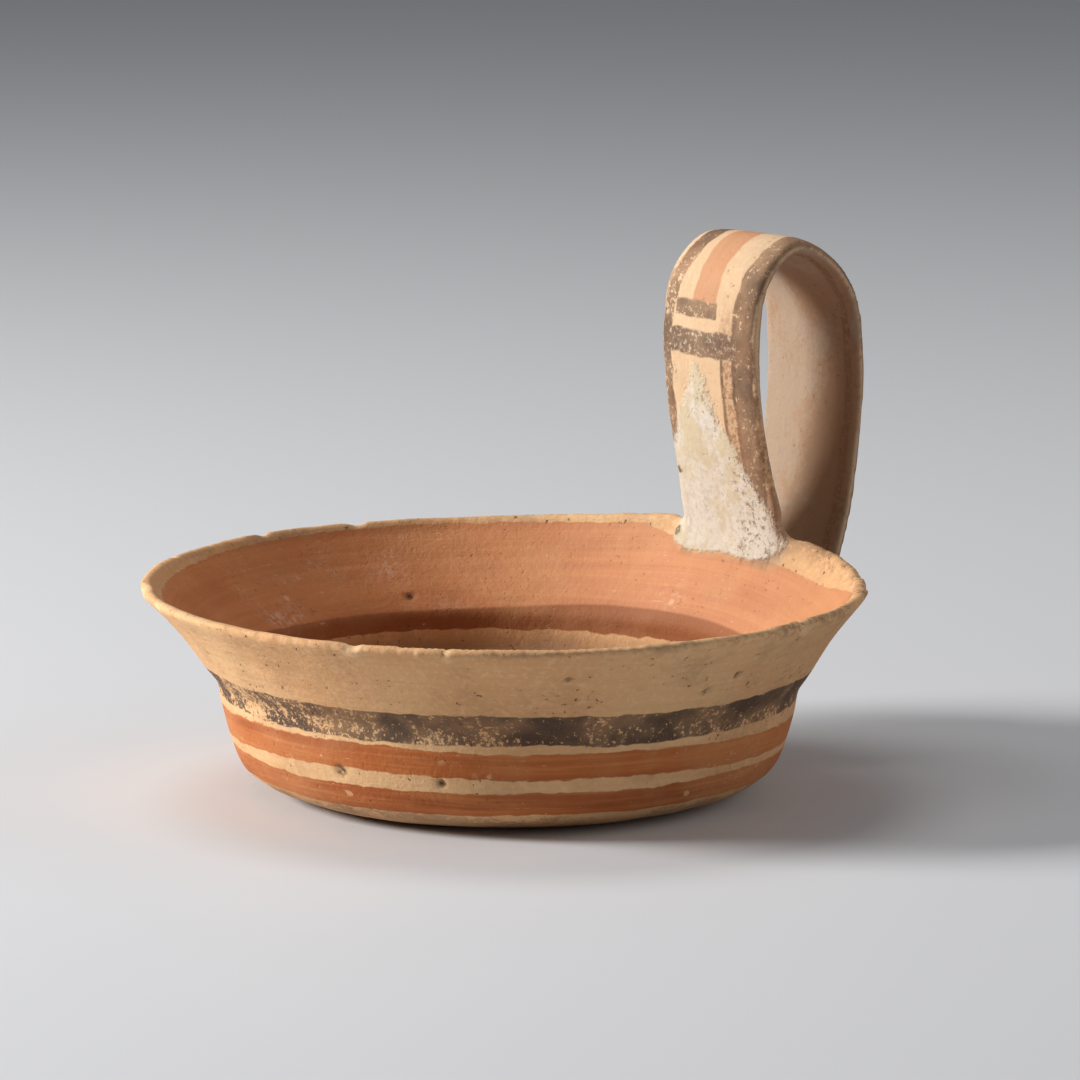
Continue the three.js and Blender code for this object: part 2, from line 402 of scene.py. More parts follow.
def section_place(points):
    """Way down from the lip along the section, in mm: outside is positive, inside is negative."""
    angle, radius, height = turned_place(points)
    here = np.stack([radius, height], -1)
    nearest = np.empty(len(points), dtype=int)
    for start in range(0, len(points), 4000):
        part = here[start:start + 4000]
        gap = ((part[:, None] - SECTION[None]) ** 2).sum(-1)
        nearest[start:start + 4000] = gap.argmin(1)
    inner = np.clip(nearest, 1, len(SECTION) - 2)
    way = SECTION[inner + 1] - SECTION[inner - 1]
    span = (way ** 2).sum(-1)
    t = ((here - SECTION[inner - 1]) * way).sum(-1) / span
    low, high = BELOW_LIP[inner - 1], BELOW_LIP[inner + 1]
    return angle, low + np.clip(t, 0, 1) * (high - low)


def surface_normals(points):
    skin.vertices.foreach_set("co", (points * MM).ravel())
    skin.update()
    normals = np.empty(len(points) * 3)
    skin.vertices.foreach_get("normal", normals)
    return normals.reshape(-1, 3)


def soft_waves(points, seed, size, count=9):
    """A gentle unevenness: a few slanting waves of about one size, from a fixed seed."""
    chance = np.random.default_rng(seed)
    ways = chance.normal(size=(count, 3))
    ways /= np.linalg.norm(ways, axis=1)[:, None]
    lengths = size * chance.uniform(0.7, 1.4, count)
    phases = chance.uniform(0, 2 * math.pi, count)
    return np.cos(points @ (ways / lengths[:, None]).T * 2 * math.pi + phases).mean(1)


def turned_from(degrees):
    """How far round the cup each point is from a direction, as an angle."""
    away = angle - math.radians(degrees)
    return np.arctan2(np.sin(away), np.cos(away))


angle, below_lip = section_place(places)
on_strap = smoothstep(-0.8, 0.8, to_cup - to_strap)
dent = 0.35 * soft_waves(places, 11, 30) + 0.14 * soft_waves(places, 12, 9) + 0.05 * soft_waves(places, 13, 4)
dent *= np.where(below_lip > BELOW_LIP[0] - BASE_RADIUS - 3, 0, 1) * (1 - on_strap) + on_strap
pitted = np.zeros(len(places))
for turn, way_down, size, depth in PITS:
    round_the_wall = turned_from(turn) * np.hypot(places[:, 0], places[:, 1])
    away = np.hypot(round_the_wall, below_lip - way_down)
    pitted += depth * np.exp(-(away / (0.45 * size)) ** 4) * (1 - on_strap)
places = places + surface_normals(places) * (dent - pitted)[:, None]
bitten = np.zeros(len(places))
for turn, long, wide, deep in CHIPS:
    radius = LIP_RADIUS + float(lip_offset(math.radians(turn)))
    along = turned_from(turn) * radius
    out = (np.hypot(places[:, 0], places[:, 1]) - radius + 0.6) / wide
    bite = deep * (1 - smoothstep(0.25, 1, np.sqrt((2 * along / long) ** 2 + out ** 2)))
    bite *= (np.abs(below_lip) < 4) * (1 - on_strap)
    bitten += bite
    places[:, 2] -= bite
    places[:, :2] *= 1 - 0.5 * (bite * (below_lip > 0) / radius)[:, None]
print(f"chips: {len(CHIPS)}, pits: {len(PITS)}, deepest bite {bitten.max():.2f} mm")

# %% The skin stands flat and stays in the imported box
low, high = (np.array(corner) / MM for corner in packed_box)
places[:, 2] = np.where(places[:, 2] < 0.25, 0, places[:, 2])
places = np.clip(places, low, high)
skin.vertices.foreach_set("co", (places * MM).ravel())
skin.update()
kyathos = bpy.data.objects.new("kyathos_clay", skin)
bpy.context.scene.collection.objects.link(kyathos)
skin.polygons.foreach_set("use_smooth", [True] * len(skin.polygons))
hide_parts("kyathos")
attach(kyathos, "root")
print("skin box, mm:", np.round(places.min(0), 2), np.round(places.max(0), 2))

# %% [markdown]
# The painter worked along the wall and along the strap, so the paint needs to know where it is in those
# terms. Image coordinates would tear on a shape like this. Instead each point of the skin is told how far
# it lies below the lip, and how far along and across the strap, and the materials read those numbers.

# %% Where each point lies on the strap
def strap_place(points):
    along = np.linspace(0, STRAP_LENGTH, len(STRAP_LINE))
    flat = points[:, [0, 2]]
    nearest = np.empty(len(points), dtype=int)
    for start in range(0, len(points), 4000):
        part = flat[start:start + 4000]
        nearest[start:start + 4000] = ((part[:, None] - STRAP_LINE[None]) ** 2).sum(-1).argmin(1)
    away = flat - STRAP_LINE[nearest]
    way = STRAP_WAY[nearest]
    out = (away[:, 1] * way[:, 0] - away[:, 0] * way[:, 1]) / STRAP_HALF_THICKNESS
    further = (away * way).sum(-1)
    return along[nearest] + further, points[:, 1] - strap_lean(points[:, 2]), out


def tell(mesh, name, values):
    attribute = mesh.attributes.new(name, "FLOAT", "POINT")
    attribute.data.foreach_set("value", np.asarray(values, dtype=np.float32))


strap_along, strap_across, strap_out = (np.zeros(len(places)) for _ in range(3))
strap_along[near_strap], strap_across[near_strap], strap_out[near_strap] = strap_place(places[near_strap])
angle, below_lip = section_place(places)
tell(skin, "below_lip", below_lip)
tell(skin, "on_strap", on_strap)
by_root = np.exp(-(to_strap / 1.2) ** 2) * smoothstep(36, 39, places[:, 2])
tell(skin, "near_root", by_root * (places[:, 0] < 60))
tell(skin, "chipped", np.clip(bitten * 4, 0, 1))
tell(skin, "pitted", np.clip(pitted * 3, 0, 1))
tell(skin, "strap_along", strap_along)
tell(skin, "strap_across", strap_across)
tell(skin, "strap_out", np.clip(strap_out, -1.5, 1.5))
print("told the skin:", [a.name for a in skin.attributes if a.data_type == "FLOAT"])

# %% [markdown]
# Every finish below is put together from small steps: a sum, a noise, a blend of two colours. A few short
# helpers keep those steps readable. Each adds one node and gives back its output.

# %% Helpers that add one node each
class Steps:
    """Adds nodes to one tree. Plain numbers and colours go on sockets, outputs are linked."""

    def __init__(self, tree):
        self.tree = tree

    def feed(self, socket, value):
        if isinstance(value, bpy.types.NodeSocket):
            self.tree.links.new(value, socket)
        elif value is not None:
            socket.default_value = value

    def node(self, kind, **settings):
        made = self.tree.nodes.new(kind)
        for key, value in settings.items():
            setattr(made, key, value)
        return made

    def math(self, operation, a, b=None, c=None, clamp=False):
        made = self.node("ShaderNodeMath", operation=operation, use_clamp=clamp)
        for socket, value in zip(made.inputs, (a, b, c)):
            self.feed(socket, value)
        return made.outputs[0]

    def add(self, a, b):
        return self.math("ADD", a, b)

    def less(self, a, b):
        return self.math("SUBTRACT", a, b)

    def times(self, a, b):
        return self.math("MULTIPLY", a, b)

    def most(self, a, b):
        return self.math("MAXIMUM", a, b)

    def least(self, a, b):
        return self.math("MINIMUM", a, b)

    def ramp(self, value, low, high, to_low=0.0, to_high=1.0):
        """A smooth climb from to_low to to_high as the value goes from low to high."""
        made = self.node("ShaderNodeMapRange", interpolation_type="SMOOTHSTEP")
        for socket, number in zip(made.inputs, (value, low, high, to_low, to_high)):
            self.feed(socket, number)
        return made.outputs["Result"]

    def noise(self, vector, scale, detail=3.0, rough=0.55, warp=0.0):
        made = self.node("ShaderNodeTexNoise")
        self.feed(made.inputs["Vector"], vector)
        self.feed(made.inputs["Scale"], scale)
        self.feed(made.inputs["Detail"], detail)
        self.feed(made.inputs["Roughness"], rough)
        self.feed(made.inputs["Distortion"], warp)
        return made.outputs[0]

    def cells(self, vector, scale, feature="F1", spread=1.0):
        made = self.node("ShaderNodeTexVoronoi", feature=feature)
        self.feed(made.inputs["Vector"], vector)
        self.feed(made.inputs["Scale"], scale)
        self.feed(made.inputs["Randomness"], spread)
        return made.outputs["Distance"]

    def mix(self, share, a, b, blend="MIX"):
        made = self.node("ShaderNodeMix", data_type="RGBA", blend_type=blend)
        made.clamp_factor = True
        self.feed(made.inputs[0], share)
        self.feed(made.inputs[6], a)
        self.feed(made.inputs[7], b)
        return made.outputs[2]

    def vector(self, x, y, z):
        made = self.node("ShaderNodeCombineXYZ")
        for socket, value in zip(made.inputs, (x, y, z)):
            self.feed(socket, value)
        return made.outputs[0]

    def dot(self, vector, way):
        made = self.node("ShaderNodeVectorMath", operation="DOT_PRODUCT")
        self.feed(made.inputs[0], vector)
        self.feed(made.inputs[1], way)
        return made.outputs["Value"]

    def stretched(self, vector, by, operation="MULTIPLY"):
        made = self.node("ShaderNodeVectorMath", operation=operation)
        self.feed(made.inputs[0], vector)
        self.feed(made.inputs[1], by)
        return made.outputs[0]

    def told(self, name):
        return self.node("ShaderNodeAttribute", attribute_name=name).outputs["Fac"]

    def group(self, tree, **values):
        made = self.node("ShaderNodeGroup")
        made.node_tree = tree
        for key, value in values.items():
            self.feed(made.inputs[key.replace("_", " ")], value)
        return made.outputs


def new_group(name, inputs, outputs):
    """A node group with named sockets. Each input is (name, kind, value)."""
    tree = bpy.data.node_groups.new(name, "ShaderNodeTree")
    for label, kind, value in inputs:
        socket = tree.interface.new_socket(label, in_out="INPUT", socket_type="NodeSocket" + kind)
        if value is not None:
            socket.default_value = value
    for label, kind in outputs:
        tree.interface.new_socket(label, in_out="OUTPUT", socket_type="NodeSocket" + kind)
    steps = Steps(tree)
    given = steps.node("NodeGroupInput").outputs
    result = steps.node("NodeGroupOutput").inputs
    return steps, given, result, tree


def colour(red, green, blue):
    """A colour as it looks on a screen, 0 to 255, turned into the light it stands for."""
    light = [((c / 255 + 0.055) / 1.055) ** 2.4 if c > 10 else c / 3295 for c in (red, green, blue)]
    return (*light, 1.0)


# %% [markdown]
# A painted band is the wall turning under a loaded brush. Its edges wander a little, because the hand is
# not a machine, and are crisp, because the paint is thick. The group takes the place across the band and
# answers with a mask that is 1 inside it.

# %% Group: a band with hand-drawn edges
steps, given, result, BAND = new_group(
    "Hand-drawn band",
    [("Place", "Float", 0.0), ("Low edge", "Float", 0.0), ("High edge", "Float", 1.0),
     ("Wander", "Float", 0.0), ("Softness", "Float", 0.15)],
    [("Mask", "Float")])
place = steps.add(given["Place"], given["Wander"])
low_start, low_end = (change(given["Low edge"], given["Softness"]) for change in (steps.less, steps.add))
high_start, high_end = (change(given["High edge"], given["Softness"]) for change in (steps.less, steps.add))
rise = steps.ramp(place, low_start, low_end)
fall = steps.ramp(place, high_start, high_end, 1.0, 0.0)
steps.feed(result["Mask"], steps.times(rise, fall))

# %% [markdown]
# Old matt paint goes in two ways. It flakes off in specks where grains stand proud, and it is rubbed thin
# in broad patches. The group takes one noise for each: the grains decide where a speck goes, the patches
# decide how many go.

# %% Group: paint worn to specks and thin patches
steps, given, result, WORN = new_group(
    "Worn paint",
    [("Mask", "Float", 1.0), ("Grains", "Float", 0.5), ("Patches", "Float", 0.5), ("Wear", "Float", 0.5),
     ("Thinning", "Float", 0.3)],
    [("Mask", "Float")])
rubbed = steps.ramp(given["Patches"], 0.40, 0.64)
limit = steps.less(0.78, steps.times(given["Wear"], steps.add(0.24, steps.times(rubbed, 0.20))))
kept = steps.ramp(given["Grains"], steps.less(limit, 0.05), steps.add(limit, 0.03), 1.0, 0.0)
thinned = steps.less(1.0, steps.times(given["Thinning"], rubbed))
steps.feed(result["Mask"], steps.times(given["Mask"], steps.times(kept, thinned)))

# %% [markdown]
# Fired clay is never one colour. The kiln leaves broad pinkish and yellowish clouds, the clay body has
# dark grit and pale lime, and handling greys it. The group mixes them and gives the grit a little depth.

# %% Group: fired clay
steps, given, result, CLAY = new_group(
    "Fired clay",
    [("Vector", "Vector", None), ("Ground", "Color", colour(216, 172, 124)),
     ("Warm", "Color", colour(208, 158, 110)), ("Dull", "Color", colour(180, 140, 100)),
     ("Pale", "Color", colour(232, 202, 164)), ("Grit", "Color", colour(84, 58, 42)),
     ("Grit share", "Float", 0.5)],
    [("Color", "Color"), ("Height", "Float"), ("Clouds", "Float")])
clouds = steps.noise(given["Vector"], 28.0, 2.0, 0.5)
smears = steps.noise(given["Vector"], 105.0, 3.0, 0.65)
fine = steps.noise(given["Vector"], 850.0, 2.0, 0.65)
tone = steps.mix(steps.ramp(clouds, 0.38, 0.64), given["Ground"], given["Warm"])
tone = steps.mix(steps.times(steps.ramp(smears, 0.48, 0.70), 0.5), tone, given["Dull"])
tone = steps.mix(steps.times(steps.ramp(fine, 0.45, 0.75), 0.3), tone, given["Pale"])
grit = steps.times(steps.ramp(fine, 0.285, 0.335, 1.0, 0.0), steps.ramp(smears, 0.44, 0.54))
grit = steps.times(grit, given["Grit share"])
steps.feed(result["Color"], steps.mix(grit, tone, given["Grit"]))
steps.feed(result["Height"], steps.less(steps.add(steps.times(fine, 0.6), steps.times(smears, 0.7)), grit))
steps.feed(result["Clouds"], clouds)

# %% [markdown]
# The burial left a pale lime crust on the handle. It is thicker than paint, ragged at its edge and dotted
# with small dark holes.

# %% Group: lime crust
steps, given, result, LIME = new_group(
    "Lime crust",
    [("Vector", "Vector", None), ("Mask", "Float", 0.0), ("Grains", "Float", 0.5),
     ("Pale", "Color", colour(216, 207, 192)), ("Shade", "Color", colour(170, 158, 140)),
     ("Stained", "Color", colour(198, 180, 142)), ("Holes", "Color", colour(76, 58, 46))],
    [("Color", "Color"), ("Mask", "Float"), ("Height", "Float")])
ragged = steps.noise(given["Vector"], 120.0, 4.0, 0.68)
torn = steps.times(steps.less(ragged, 0.5), 1.6)
frayed = steps.times(steps.less(given["Grains"], 0.5), 0.5)
cover = steps.ramp(steps.add(given["Mask"], steps.add(torn, frayed)), 0.36, 0.66)
spots = steps.add(steps.cells(given["Vector"], 150.0), steps.times(given["Grains"], 0.7))
holes = steps.times(steps.ramp(spots, 0.40, 0.56, 1.0, 0.0), steps.ramp(ragged, 0.52, 0.60))
tone = steps.mix(steps.times(steps.ramp(given["Grains"], 0.42, 0.70), 0.5), given["Pale"], given["Shade"])
tone = steps.mix(steps.times(steps.ramp(ragged, 0.42, 0.60), 0.7), tone, given["Stained"])
thickness = steps.less(steps.add(0.7, steps.times(given["Grains"], 0.7)), steps.times(holes, 0.9))
steps.feed(result["Color"], steps.mix(steps.times(holes, 0.85), tone, given["Holes"]))
steps.feed(result["Mask"], cover)
steps.feed(result["Height"], steps.times(cover, thickness))

# %% [markdown]
# The star on the floor is four quarters, two red and two dark, kept apart by a cross of bare clay. Each
# quarter lies between two arms that are not quite square to each other, and its free side curves in. With
# the place measured along its two arms, that side is one short rule: the shares of the two arm lengths,
# each raised to the same power, add up to one.

# %% Group: one quarter of the star
steps, given, result, QUARTER = new_group(
    "Star quarter",
    [("Along", "Float", 0.0), ("Across", "Float", 0.0), ("Length along", "Float", 40.0),
     ("Length across", "Float", 40.0), ("Gap", "Float", 1.0), ("Curve", "Float", 0.55),
     ("Wander", "Float", 0.0)],
    [("Mask", "Float")])


def share_of(place, length):
    """How much of its arm a place has used up, past the bare cross, bent by the curve."""
    clear = steps.most(steps.less(given[place], given["Gap"]), 0.0)
    share = steps.math("DIVIDE", clear, steps.less(given[length], given["Gap"]))
    return steps.math("POWER", share, given["Curve"])


total = steps.add(share_of("Along", "Length along"), share_of("Across", "Length across"))
total = steps.add(total, given["Wander"])
mask = steps.ramp(total, 0.98, 1.0, 1.0, 0.0)
for place in ("Along", "Across"):
    edge_start, edge_end = steps.less(given["Gap"], 0.15), steps.add(given["Gap"], 0.15)
    mask = steps.times(mask, steps.ramp(given[place], edge_start, edge_end))
steps.feed(result["Mask"], mask)
print("groups:", [g.name for g in bpy.data.node_groups])

# %% [markdown]
# The cup is one body of clay, so it gets one material. The bare clay comes first, then each paint in the
# order in which a painter lays it, then wear, dirt and lime. The masks come from the numbers told above,
# so a band follows the bent lip and the strap's stripes follow its curve.

# %% The clay material and the places it reads
clay = bpy.data.materials.new("painted_clay")
clay.use_nodes = True
on = Steps(clay.node_tree)
shader = clay.node_tree.nodes["Principled BSDF"]
shader.inputs["Specular IOR Level"].default_value = 0.3
here = on.node("ShaderNodeTexCoord").outputs["Object"]
down, strap, root = on.told("below_lip"), on.told("on_strap"), on.told("near_root")
along, across, out = on.told("strap_along"), on.told("strap_across"), on.told("strap_out")
off_strap = on.less(1.0, strap)
inside = on.times(on.ramp(down, -1.5, -0.5, 1.0, 0.0), off_strap)
turn = on.stretched(on.stretched(here, (1.0, 1.0, 0.0)), (1.0, 1.0, 1.0), "NORMALIZE")
toward_handle, toward_left = on.dot(turn, (1.0, 0.0, 0.0)), on.dot(turn, (0.0, 1.0, 0.0))
facing = on.times(on.ramp(out, -0.15, 0.35), strap)
within = on.times(on.ramp(out, -0.35, 0.1, 1.0, 0.0), strap)

# %% Colours of the clay, the paints, the lime and the dirt
SLIP_STREAK, UNDERSIDE_CLAY, STRAP_CLAY = colour(196, 146, 96), colour(168, 124, 88), colour(210, 188, 158)
FLOOR_CLAY, FLOOR_STAIN = colour(158, 116, 80), colour(138, 122, 112)
OUTER_RED, OUTER_RED_DEEP = colour(172, 88, 32), colour(154, 73, 22)
WALL_RED, WALL_RED_DEEP = colour(190, 112, 66), colour(176, 98, 54)
# the veil colour is partly a pale film and partly painted light on the lit side of the inner red wall
RED_STREAK, RED_CLOUD, RED_VEIL_AND_PAINTED_LIGHT = colour(204, 134, 74), colour(200, 126, 68), colour(214, 168, 130)
# the wall-foot colour is painted shade for the steep foot of the red wall
WALL_FOOT_SHADE, STAR_RED = colour(124, 62, 22), colour(162, 86, 56)
PANEL_RED, PANEL_SCUFF = colour(198, 146, 108), colour(172, 116, 78)
DARK_PAINT, DARK_PAINT_THIN = colour(62, 48, 42), colour(98, 72, 54)
STRAP_DARK, STRAP_DARK_THIN, STRAP_BROWN = colour(100, 74, 56), colour(146, 108, 78), colour(146, 102, 70)
CHALK, FLECK, BROKEN_CLAY = colour(222, 190, 170), colour(226, 182, 134), colour(226, 184, 138)
# the rim dirt colour also serves for the painted shade just above the shelf
PIT_DIRT, RIM_DIRT_AND_FOOT_SHADE, STRAP_DIRT = colour(78, 52, 38), colour(116, 88, 68), colour(124, 96, 76)
LIME_SPECK, LIME_AT_ROOT, LIME_ON_BAR = colour(116, 96, 76), colour(176, 154, 120), colour(196, 180, 158)
# the clay and film colours inside the loop are darkened in part as painted shade
LOOP_CLAY_AND_SHADE, LOOP_FILM, LOOP_LINE = colour(138, 100, 74), colour(172, 154, 134), colour(128, 94, 66)

# %% [markdown]
# Few noises do all the work, each used in several places, because every one is worked out again for each
# ray of light. One sways the edges of the bands and one makes them shiver. Two hold the grains that flake,
# and one holds the patches that were handled.

# %% The noises that the finish shares
sway = on.less(on.noise(here, 17.0, 1.0, 0.5), 0.5)
shiver = on.times(on.less(on.noise(here, 260.0, 2.0, 0.6), 0.5), 1.3)
grains = on.noise(here, 900.0, 3.0, 0.75)
fine_grains = on.noise(here, 1100.0, 3.0, 0.8)
patches = on.noise(here, 58.0, 3.0, 0.6)
scuff_noise = on.noise(here, 40.0, 2.0, 0.6)
dark_patches = on.noise(on.stretched(here, (0.03, 0.05, 0.01), "ADD"), 66.0, 3.0, 0.65)
hand = on.add(on.times(sway, 3.6), shiver)
other_hand = on.add(on.times(sway, -3.0), shiver)
print("places and noises:", len(clay.node_tree.nodes), "nodes")

# %% [markdown]
# Wheel marks are fine rings. Measured along the section, they are streaks that are long round the cup and
# short down the wall, so a noise is read with the way round squeezed and the way down stretched. The
# same is done along the strap, where fingers and brush ran lengthwise.

# %% Wheel marks and brush streaks
ring_place = on.vector(on.times(down, 1.15), on.times(toward_handle, 2.2), on.times(toward_left, 2.2))
strap_streak_place = on.vector(on.times(across, 1.1), on.times(along, 0.07), out)
streak_place = on.node("ShaderNodeMix", data_type="VECTOR")
on.feed(streak_place.inputs[0], strap)
on.feed(streak_place.inputs[4], ring_place)
on.feed(streak_place.inputs[5], strap_streak_place)
streaks = on.noise(streak_place.outputs[1], 1.0, 2.0, 0.65)
broad_rings = on.noise(streak_place.outputs[1], 0.26, 1.0, 0.5)

# %% [markdown]
# Bare clay shows outside between the bands, on the floor, on the base and on the strap. The outside got a
# pale slip, the floor is duller and stained near the handle, and the base is raw. One clay is blended
# toward each of these, so that the grain runs on without a seam.

# %% Bare clay
body = on.group(CLAY, Vector=here, Grit_share=0.8)
bare = on.mix(on.times(on.ramp(streaks, 0.45, 0.72), 0.30), body["Color"], SLIP_STREAK)
on_floor = on.times(on.ramp(down, -30.0, -26.0, 1.0, 0.0), inside)
bare = on.mix(on.times(on_floor, 0.75), bare, FLOOR_CLAY)
stain = on.times(on.ramp(patches, 0.44, 0.64), on.ramp(on.dot(here, (1000.0, 0.0, 0.0)), 4.0, 26.0))
bare = on.mix(on.times(on.times(stain, on_floor), 0.55), bare, FLOOR_STAIN)
bare = on.mix(on.times(on.ramp(down, 41.5, 46.0), 0.45), bare, UNDERSIDE_CLAY)
bare = on.mix(on.times(strap, 0.5), bare, STRAP_CLAY)
print("bare clay:", len(clay.node_tree.nodes), "nodes")

# %% [markdown]
# Outside there are one dark and two red bands. Inside, the wall is red from just under the lip down to the
# floor, and its upper edge swings down round the handle, where the brush had to go below the strap.

# %% Bands on the cup
# way down from the lip along the section, in mm: inside is negative
DARK_BAND = (19.0, 26.0)
UPPER_RED_BAND = (27.6, 32.6)
LOWER_RED_BAND = (35.0, 40.2)
RED_WALL_FOOT, RED_WALL_EDGE = -26.3, -3.0
SWING_AT_HANDLE = 4.6


def cup_band(edges, wander):
    low_edge, high_edge = edges
    made = on.group(BAND, Place=down, Low_edge=low_edge, High_edge=high_edge, Wander=wander)
    return on.times(made["Mask"], off_strap)


by_handle = on.ramp(on.dot(turn, (0.985, -0.17, 0.0)), 0.80, 0.97)
inner_edge = on.add(on.add(RED_WALL_EDGE, on.dot(turn, (1.0, 0.45, 0.0))), on.times(sway, 2.5))
inner_edge = on.less(inner_edge, on.times(by_handle, SWING_AT_HANDLE))
inner_red = cup_band((RED_WALL_FOOT, inner_edge), shiver)
outer_red = on.most(cup_band(UPPER_RED_BAND, other_hand), cup_band(LOWER_RED_BAND, hand))
dark_band = cup_band(DARK_BAND, hand)

# %% [markdown]
# The star's arms don't quite meet at right angles, as the painter set them by eye. Each quarter therefore
# gets its own pair of directions, worked out from the arms on its two sides. Three small bare triangles
# were left inside it, and the dark paint is rubbed away in rings on the handle's side.

# %% The star on the floor
STAR_CENTRE = (3.0, 0.3, 0.0)
# direction from the handle in degrees, length in mm
STAR_ARMS = [(-125.5, 44.0), (-34.5, 39.4), (60.8, 40.6), (153.5, 46.4)]
RED_GAP, DARK_GAP = 1.3, 0.7
# place of each bare triangle, its length in mm and its direction in degrees
GORES = [(4.3, -15.3, 2.6, -100), (-0.2, 16.5, 2.6, 100), (-7.5, -2.1, 2.4, 185)]
floor_place = on.stretched(here, (1000.0, 1000.0, 0.0))
from_star = on.stretched(floor_place, STAR_CENTRE, "SUBTRACT")
star_wander = on.times(shiver, 0.08)


def star_quarter(first, second, gap):
    (turn_1, length_1), (turn_2, length_2) = STAR_ARMS[first], STAR_ARMS[second]
    arms = np.array([[math.cos(math.radians(t)), math.sin(math.radians(t))] for t in (turn_1, turn_2)]).T
    way_1, way_2 = np.linalg.inv(arms)
    made = on.group(QUARTER, Along=on.dot(from_star, (*way_1, 0.0)), Across=on.dot(from_star, (*way_2, 0.0)),
                    Length_along=length_1, Length_across=length_2, Gap=gap, Wander=star_wander)
    return on.times(made["Mask"], on_floor)


def small_gore(x, y, size, lean):
    """A small bare triangle that the painter left inside a quarter."""
    away = on.stretched(floor_place, (x, y, 0.0), "SUBTRACT")
    c, s = math.cos(math.radians(lean)), math.sin(math.radians(lean))
    long, wide = on.dot(away, (c, s, 0.0)), on.dot(away, (-s, c, 0.0))
    taper = on.math("MULTIPLY_ADD", long, -0.26, 0.30 * size)
    edge = on.less(taper, on.math("ABSOLUTE", on.math("MULTIPLY_ADD", on.times(long, long), 0.05, wide)))
    return on.times(on.ramp(edge, -0.1, 0.25), on.ramp(long, -size, -size + 0.4))


red_quarters = on.most(star_quarter(0, 1, RED_GAP), star_quarter(2, 3, RED_GAP))
dark_quarters = on.most(star_quarter(1, 2, DARK_GAP), star_quarter(3, 0, DARK_GAP))
first_gore, second_gore, third_gore = (small_gore(*gore) for gore in GORES)
painted = on.less(1.0, on.most(on.most(first_gore, second_gore), third_gore))
red_quarters = on.times(red_quarters, painted)
rubbed_side = on.ramp(on.dot(here, (1000.0, 260.0, 0.0)), 3.0, 12.0)
rubbed_rings = on.ramp(streaks, 0.36, 0.56)
unrubbed = on.less(1.0, on.times(on.times(rubbed_side, rubbed_rings), 0.8))
dark_quarters = on.times(dark_quarters, on.times(painted, unrubbed))
print("star:", len(STAR_ARMS), "quarters,", len(GORES), "bare triangles")

# %% [markdown]
# The strap carries a red panel over its top, dark stripes along its two sides and dark bars across it where
# the panel ends. The stripes drift inward on the way up, so their edges are ramps along the strap.

# %% Paint on the strap
# place along the strap in mm, from its root
PANEL_RUN = (56.7, 118.0)
UPPER_BAR, LOWER_BAR, REAR_BAR = (53.6, 56.7), (46.8, 51.2), (118.0, 122.5)


def strap_band(place, low_edge, high_edge, wander):
    made = on.group(BAND, Place=place, Low_edge=low_edge, High_edge=high_edge, Wander=wander, Softness=0.25)
    return made["Mask"]


def strap_bar(run, low_edge, high_edge):
    return on.times(strap_band(along, *run, drift), strap_band(across, low_edge, high_edge, shiver))


drift = on.add(on.times(on.less(patches, 0.5), 2.2), shiver)
panel = on.times(strap_band(across, -2.7, 3.7, drift), strap_band(along, *PANEL_RUN, shiver))
left_low, left_high = on.ramp(along, 46.0, 76.0, 9.3, 5.6), on.ramp(along, 46.0, 76.0, 12.3, 9.9)
left_stripe = strap_band(across, left_low, left_high, drift)
right_low, right_high = on.ramp(along, 52.0, 68.0, -12.3, -13.4), on.ramp(along, 52.0, 68.0, -7.4, -8.6)
right_stripe = strap_band(across, right_low, right_high, drift)
right_line = strap_band(across, -5.0, -4.2, on.times(drift, 0.3))
right_line = on.times(right_line, on.ramp(along, 46.0, 49.0, 1.0, 0.0))
lower_bar = strap_bar(LOWER_BAR, -8.5, 10.4)
bars = on.most(on.most(strap_bar(UPPER_BAR, -3.1, 8.2), lower_bar), strap_bar(REAR_BAR, -10.5, 6.5))
stripes = on.most(on.most(left_stripe, right_stripe), right_line)
thin_brown = on.times(strap_band(across, -8.2, -4.4, drift), on.ramp(along, 48.0, 60.0, 1.0, 0.0))
thin_brown = on.times(thin_brown, facing)
strap_dark = on.times(on.most(stripes, bars), facing)
strap_red = on.times(panel, facing)
print("strap paint:", len(clay.node_tree.nodes), "nodes")

# %% [markdown]
# A paint mixed as one colour ends up as several. The brush left streaks, the kiln left clouds, and near the
# handle the inner red is mixed toward a pale veil, partly a thin film and partly painted light on the lit side
# of the wall.
# The red wall ends in a darker strip above the floor, which is painted shade on the steep part below the inner
# shoulder.

